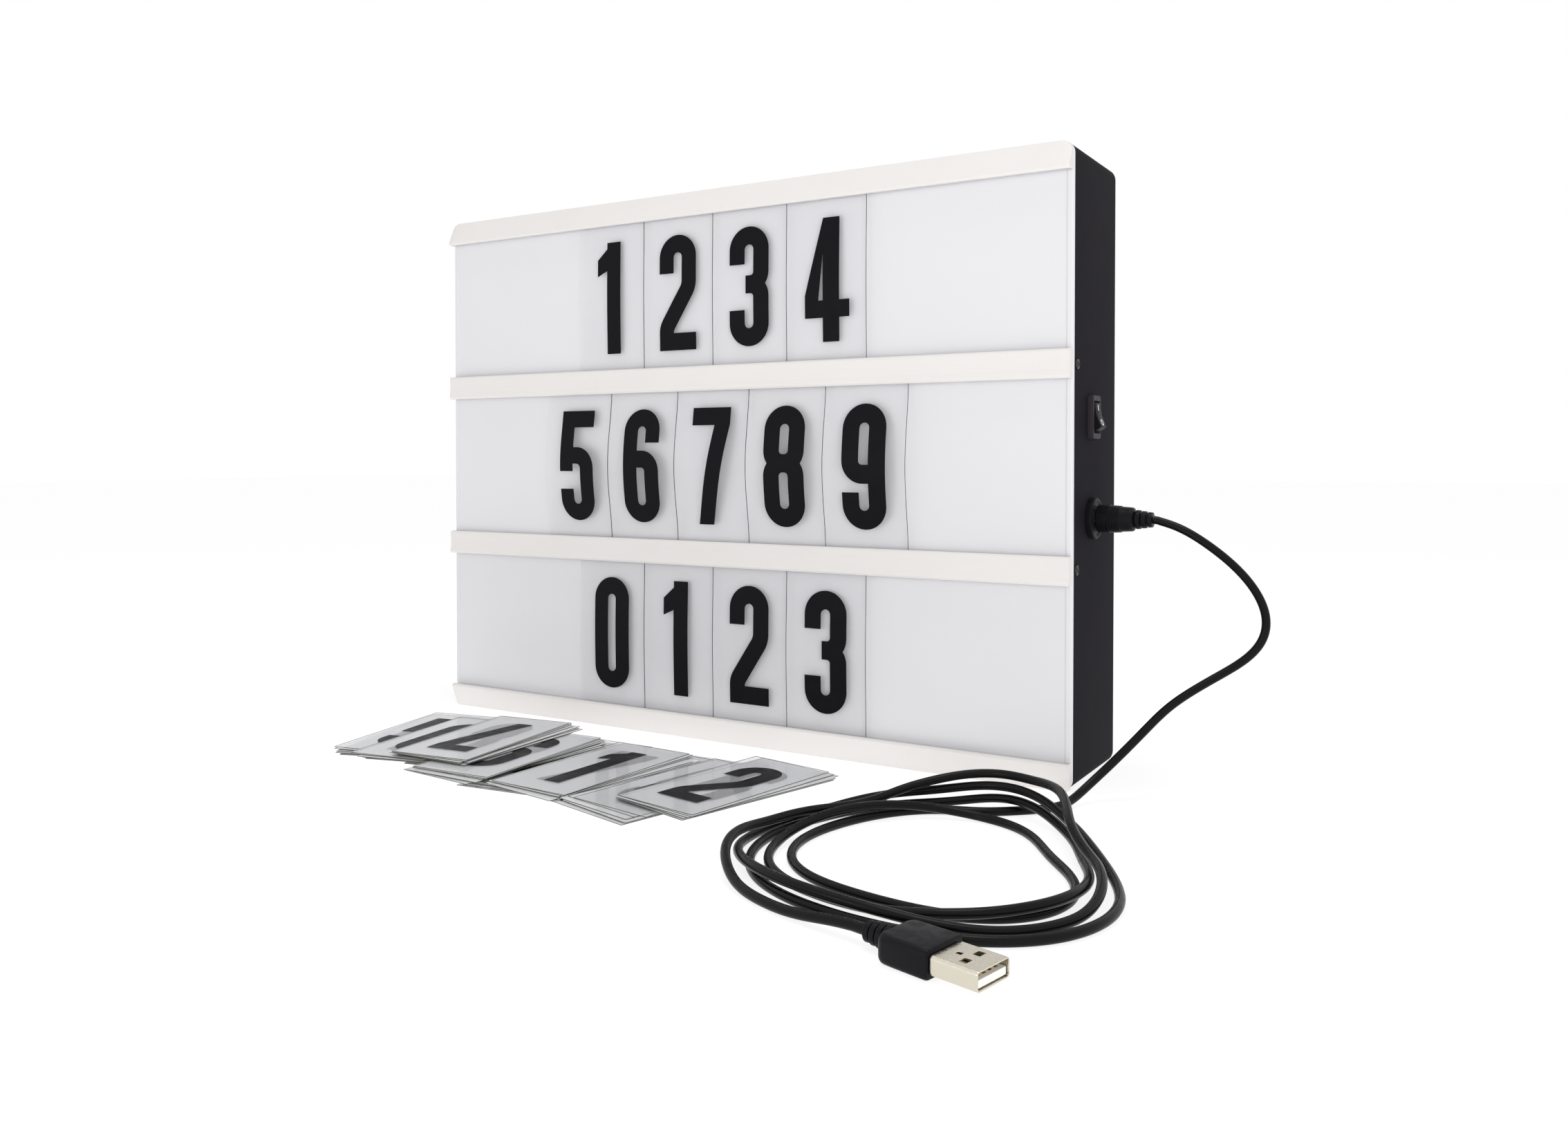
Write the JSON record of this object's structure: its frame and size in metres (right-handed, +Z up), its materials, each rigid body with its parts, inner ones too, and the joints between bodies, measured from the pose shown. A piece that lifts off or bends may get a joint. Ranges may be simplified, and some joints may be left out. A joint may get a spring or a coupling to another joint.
{
  "type": "cinema light box",
  "caption": "Flat light box on end: black casing, opal front with card rails, sliding character cards, side rocker switch, battery door at the back, plugged-in lead and spare cards.",
  "frame": {"origin": "middle of the casing's underside, on the surface that the box stands on", "axes": "+Z up, -Y out of the lit front, +X towards the side with the switch and the socket"},
  "size_m": [0.3509, 0.2161, 0.2201],
  "materials": {
    "black_plastic": "fine moulded texture",
    "opal_plastic": "satin, lets light through",
    "white_plastic": "satin, extruded",
    "card_film": "clear film",
    "screw_steel": "blackened",
    "black_nylon": "smooth",
    "black_pvc": "soft sheen",
    "nickel": "plated",
    "white_board": "plain",
    "green_board": "solder mask",
    "wire_pvc": "smooth"
  },
  "bodies": {
    "light_box": {"bottom_rail": "white_plastic", "contact_lower_link": "nickel", "contact_negative": "nickel", "contact_positive": "nickel", "contact_upper_link": "nickel", "dc_socket": "black_nylon", "dc_socket_nut": "nickel", "dc_socket_pin": "nickel", "driver_board": "green_board", "front_panel": "opal_plastic", "left_lower_screw": "screw_steel", "left_upper_screw": "screw_steel", "lower_light_strip": "white_board", "lower_rail": "white_plastic", "middle_light_strip": "white_board", "rear_casing": "black_plastic", "reflector_tray": "white_board", "right_lower_screw": "screw_steel", "right_upper_screw": "screw_steel", "switch_housing": "black_nylon", "top_rail": "white_plastic", "upper_light_strip": "white_board", "upper_rail": "white_plastic", "wire_socket_to_board": "wire_pvc", "wire_socket_to_switch": "wire_pvc", "wire_switch_to_board": "wire_pvc"},
    "rocker": {"rocker": "black_nylon"},
    "battery_door": {"battery_door": "black_plastic"},
    "top_card_1": {"top_card_1": "card_film"},
    "top_card_2": {"top_card_2": "card_film"},
    "top_card_3": {"top_card_3": "card_film"},
    "top_card_4": {"top_card_4": "card_film"},
    "middle_card_1": {"middle_card_1": "card_film"},
    "middle_card_2": {"middle_card_2": "card_film"},
    "middle_card_3": {"middle_card_3": "card_film"},
    "middle_card_4": {"middle_card_4": "card_film"},
    "middle_card_5": {"middle_card_5": "card_film"},
    "bottom_card_1": {"bottom_card_1": "card_film"},
    "bottom_card_2": {"bottom_card_2": "card_film"},
    "bottom_card_3": {"bottom_card_3": "card_film"},
    "bottom_card_4": {"bottom_card_4": "card_film"},
    "lead": {"dc_plug_barrel": "nickel", "dc_plug_grip": "black_pvc", "lead_cord": "black_pvc", "lead_coil": "black_pvc", "usb_plug_grip": "black_pvc", "usb_shell": "nickel", "usb_tongue": "white_board"},
    "spare_cards": {"spare_sheaf_1": "card_film", "spare_sheaf_2": "card_film", "spare_sheaf_3": "card_film", "spare_sheaf_4": "card_film", "spare_sheaf_5": "card_film", "spare_sheaf_6": "card_film", "spare_sheaf_7": "card_film", "spare_sheaf_8": "card_film", "spare_sheaf_9": "card_film", "spare_sheaf_10": "card_film"}
  },
  "joints": [
    {"name": "rocker_tilt", "type": "hinge", "parent": "light_box", "child": "rocker", "pos_m": [0.1455, -0.0053, 0.1275], "axis": [0, 1, 0], "range_deg": [0, 30]},
    {"name": "battery_door_tilt", "type": "hinge", "parent": "light_box", "child": "battery_door", "pos_m": [0, 0.026, 0.0423], "axis": [-1, 0, 0], "range_deg": [0, 70]},
    {"name": "top_card_1_slide", "type": "slide", "parent": "light_box", "child": "top_card_1", "axis": [1, 0, 0], "range_m": [-0.075, 0.019]},
    {"name": "top_card_2_slide", "type": "slide", "parent": "top_card_1", "child": "top_card_2", "axis": [1, 0, 0], "range_m": [0, 0.019]},
    {"name": "top_card_3_slide", "type": "slide", "parent": "top_card_2", "child": "top_card_3", "axis": [1, 0, 0], "range_m": [0, 0.019]},
    {"name": "top_card_4_slide", "type": "slide", "parent": "top_card_3", "child": "top_card_4", "axis": [1, 0, 0], "range_m": [0, 0.019]},
    {"name": "middle_card_1_slide", "type": "slide", "parent": "light_box", "child": "middle_card_1", "axis": [1, 0, 0], "range_m": [-0.058, 0.0118]},
    {"name": "middle_card_2_slide", "type": "slide", "parent": "middle_card_1", "child": "middle_card_2", "axis": [1, 0, 0], "range_m": [0, 0.0118]},
    {"name": "middle_card_3_slide", "type": "slide", "parent": "middle_card_2", "child": "middle_card_3", "axis": [1, 0, 0], "range_m": [0, 0.0118]},
    {"name": "middle_card_4_slide", "type": "slide", "parent": "middle_card_3", "child": "middle_card_4", "axis": [1, 0, 0], "range_m": [0, 0.0118]},
    {"name": "middle_card_5_slide", "type": "slide", "parent": "middle_card_4", "child": "middle_card_5", "axis": [1, 0, 0], "range_m": [0, 0.0118]},
    {"name": "bottom_card_1_slide", "type": "slide", "parent": "light_box", "child": "bottom_card_1", "axis": [1, 0, 0], "range_m": [-0.075, 0.019]},
    {"name": "bottom_card_2_slide", "type": "slide", "parent": "bottom_card_1", "child": "bottom_card_2", "axis": [1, 0, 0], "range_m": [0, 0.019]},
    {"name": "bottom_card_3_slide", "type": "slide", "parent": "bottom_card_2", "child": "bottom_card_3", "axis": [1, 0, 0], "range_m": [0, 0.019]},
    {"name": "bottom_card_4_slide", "type": "slide", "parent": "bottom_card_3", "child": "bottom_card_4", "axis": [1, 0, 0], "range_m": [0, 0.019]},
    {"name": "lead_unplug", "type": "slide", "parent": "light_box", "child": "lead", "axis": [1, 0, 0], "range_m": [0, 0.015]},
    {"name": "spare_cards_lift", "type": "slide", "parent": "light_box", "child": "spare_cards", "axis": [0, 0, 1], "range_m": [0, 0.05]}
  ]
}
